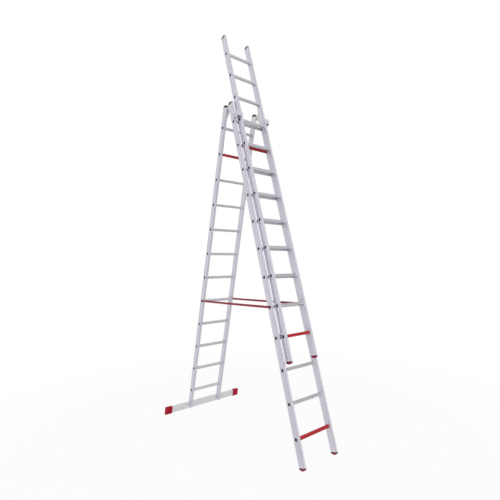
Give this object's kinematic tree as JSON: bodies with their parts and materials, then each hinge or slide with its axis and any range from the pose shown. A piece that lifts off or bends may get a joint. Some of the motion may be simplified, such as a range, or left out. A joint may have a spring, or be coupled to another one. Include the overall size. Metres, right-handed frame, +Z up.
{
  "type": "combination ladder",
  "caption": "Free-standing combination ladder: hinged middle and rear sections, a sliding top section, spreader straps and a stabiliser bar.",
  "frame": {"origin": "middle of the footprint on the ground", "axes": "+Z up, X across the rungs, the climbing side of the middle and extension sections towards -Y, the rear section towards +Y"},
  "size_m": [1.04, 1.9293, 4.2727],
  "materials": {
    "aluminium_stile": "extruded, satin, faint lines along the stile",
    "aluminium_rung": "extruded, ribbed tread",
    "red_rung": "red coating over the aluminium rung",
    "aluminium_bar": "extruded, satin",
    "aluminium_sheet": "bent sheet, brushed",
    "cap_plastic": "dark red moulded",
    "shoe_plastic": "crimson moulded",
    "strap_webbing": "dark crimson woven webbing",
    "zinc_steel": "zinc plated"
  },
  "bodies": {
    "middle_section": {"guide_bracket_left": "aluminium_sheet", "guide_bracket_right": "aluminium_sheet", "middle_bolts": "zinc_steel", "middle_caps_and_feet": "cap_plastic", "middle_hinge_plates": "zinc_steel", "middle_rung_01": "red_rung", "middle_rung_02": "aluminium_rung", "middle_rung_03": "aluminium_rung", "middle_rung_04": "aluminium_rung", "middle_rung_05": "aluminium_rung", "middle_rung_06": "aluminium_rung", "middle_rung_07": "aluminium_rung", "middle_rung_08": "aluminium_rung", "middle_rung_09": "aluminium_rung", "middle_rung_10": "aluminium_rung", "middle_rung_11": "red_rung", "middle_rung_12": "aluminium_rung", "middle_stile_left": "aluminium_stile", "middle_stile_right": "aluminium_stile", "spreader_strap_left": "strap_webbing", "spreader_strap_right": "strap_webbing"},
    "rear_section": {"rear_bolts": "zinc_steel", "rear_caps": "cap_plastic", "rear_hinge_plates": "zinc_steel", "rear_rung_01": "aluminium_rung", "rear_rung_02": "aluminium_rung", "rear_rung_03": "aluminium_rung", "rear_rung_04": "aluminium_rung", "rear_rung_05": "aluminium_rung", "rear_rung_06": "aluminium_rung", "rear_rung_07": "aluminium_rung", "rear_rung_08": "aluminium_rung", "rear_rung_09": "aluminium_rung", "rear_rung_10": "aluminium_rung", "rear_rung_11": "red_rung", "rear_rung_12": "aluminium_rung", "rear_stile_left": "aluminium_stile", "rear_stile_right": "aluminium_stile", "stabiliser_bar": "aluminium_bar", "stabiliser_shoe_left": "shoe_plastic", "stabiliser_shoe_right": "shoe_plastic"},
    "extension_section": {"extension_caps": "cap_plastic", "extension_rung_01": "red_rung", "extension_rung_02": "aluminium_rung", "extension_rung_03": "aluminium_rung", "extension_rung_04": "aluminium_rung", "extension_rung_05": "aluminium_rung", "extension_rung_06": "aluminium_rung", "extension_rung_07": "aluminium_rung", "extension_rung_08": "aluminium_rung", "extension_rung_09": "aluminium_rung", "extension_rung_10": "aluminium_rung", "extension_rung_11": "aluminium_rung", "extension_rung_12": "aluminium_rung", "extension_stile_left": "aluminium_stile", "extension_stile_right": "aluminium_stile", "hook_bolts": "zinc_steel"},
    "rung_hook_left": {"rung_hook_left": "zinc_steel"},
    "rung_hook_right": {"rung_hook_right": "zinc_steel"}
  },
  "joints": [
    {"name": "rear_fold", "type": "hinge", "parent": "middle_section", "child": "rear_section", "pos_m": [0, -0.00251, 3.37485], "axis": [1, 0, 0], "range_deg": [-29, 0], "deforming": ["spreader_strap_left", "spreader_strap_right"]},
    {"name": "extension_slide", "type": "slide", "parent": "middle_section", "child": "extension_section", "axis": [0, 0.2504, 0.9681], "range_m": [-0.84, 0.84]},
    {"name": "hook_left_turn", "type": "hinge", "parent": "extension_section", "child": "rung_hook_left", "pos_m": [-0.182, -0.70261, 1.08314], "axis": [1, 0, 0], "range_deg": [0, 100]},
    {"name": "hook_right_turn", "type": "hinge", "parent": "extension_section", "child": "rung_hook_right", "pos_m": [0.182, -0.70261, 1.08314], "axis": [1, 0, 0], "range_deg": [0, 100]}
  ]
}
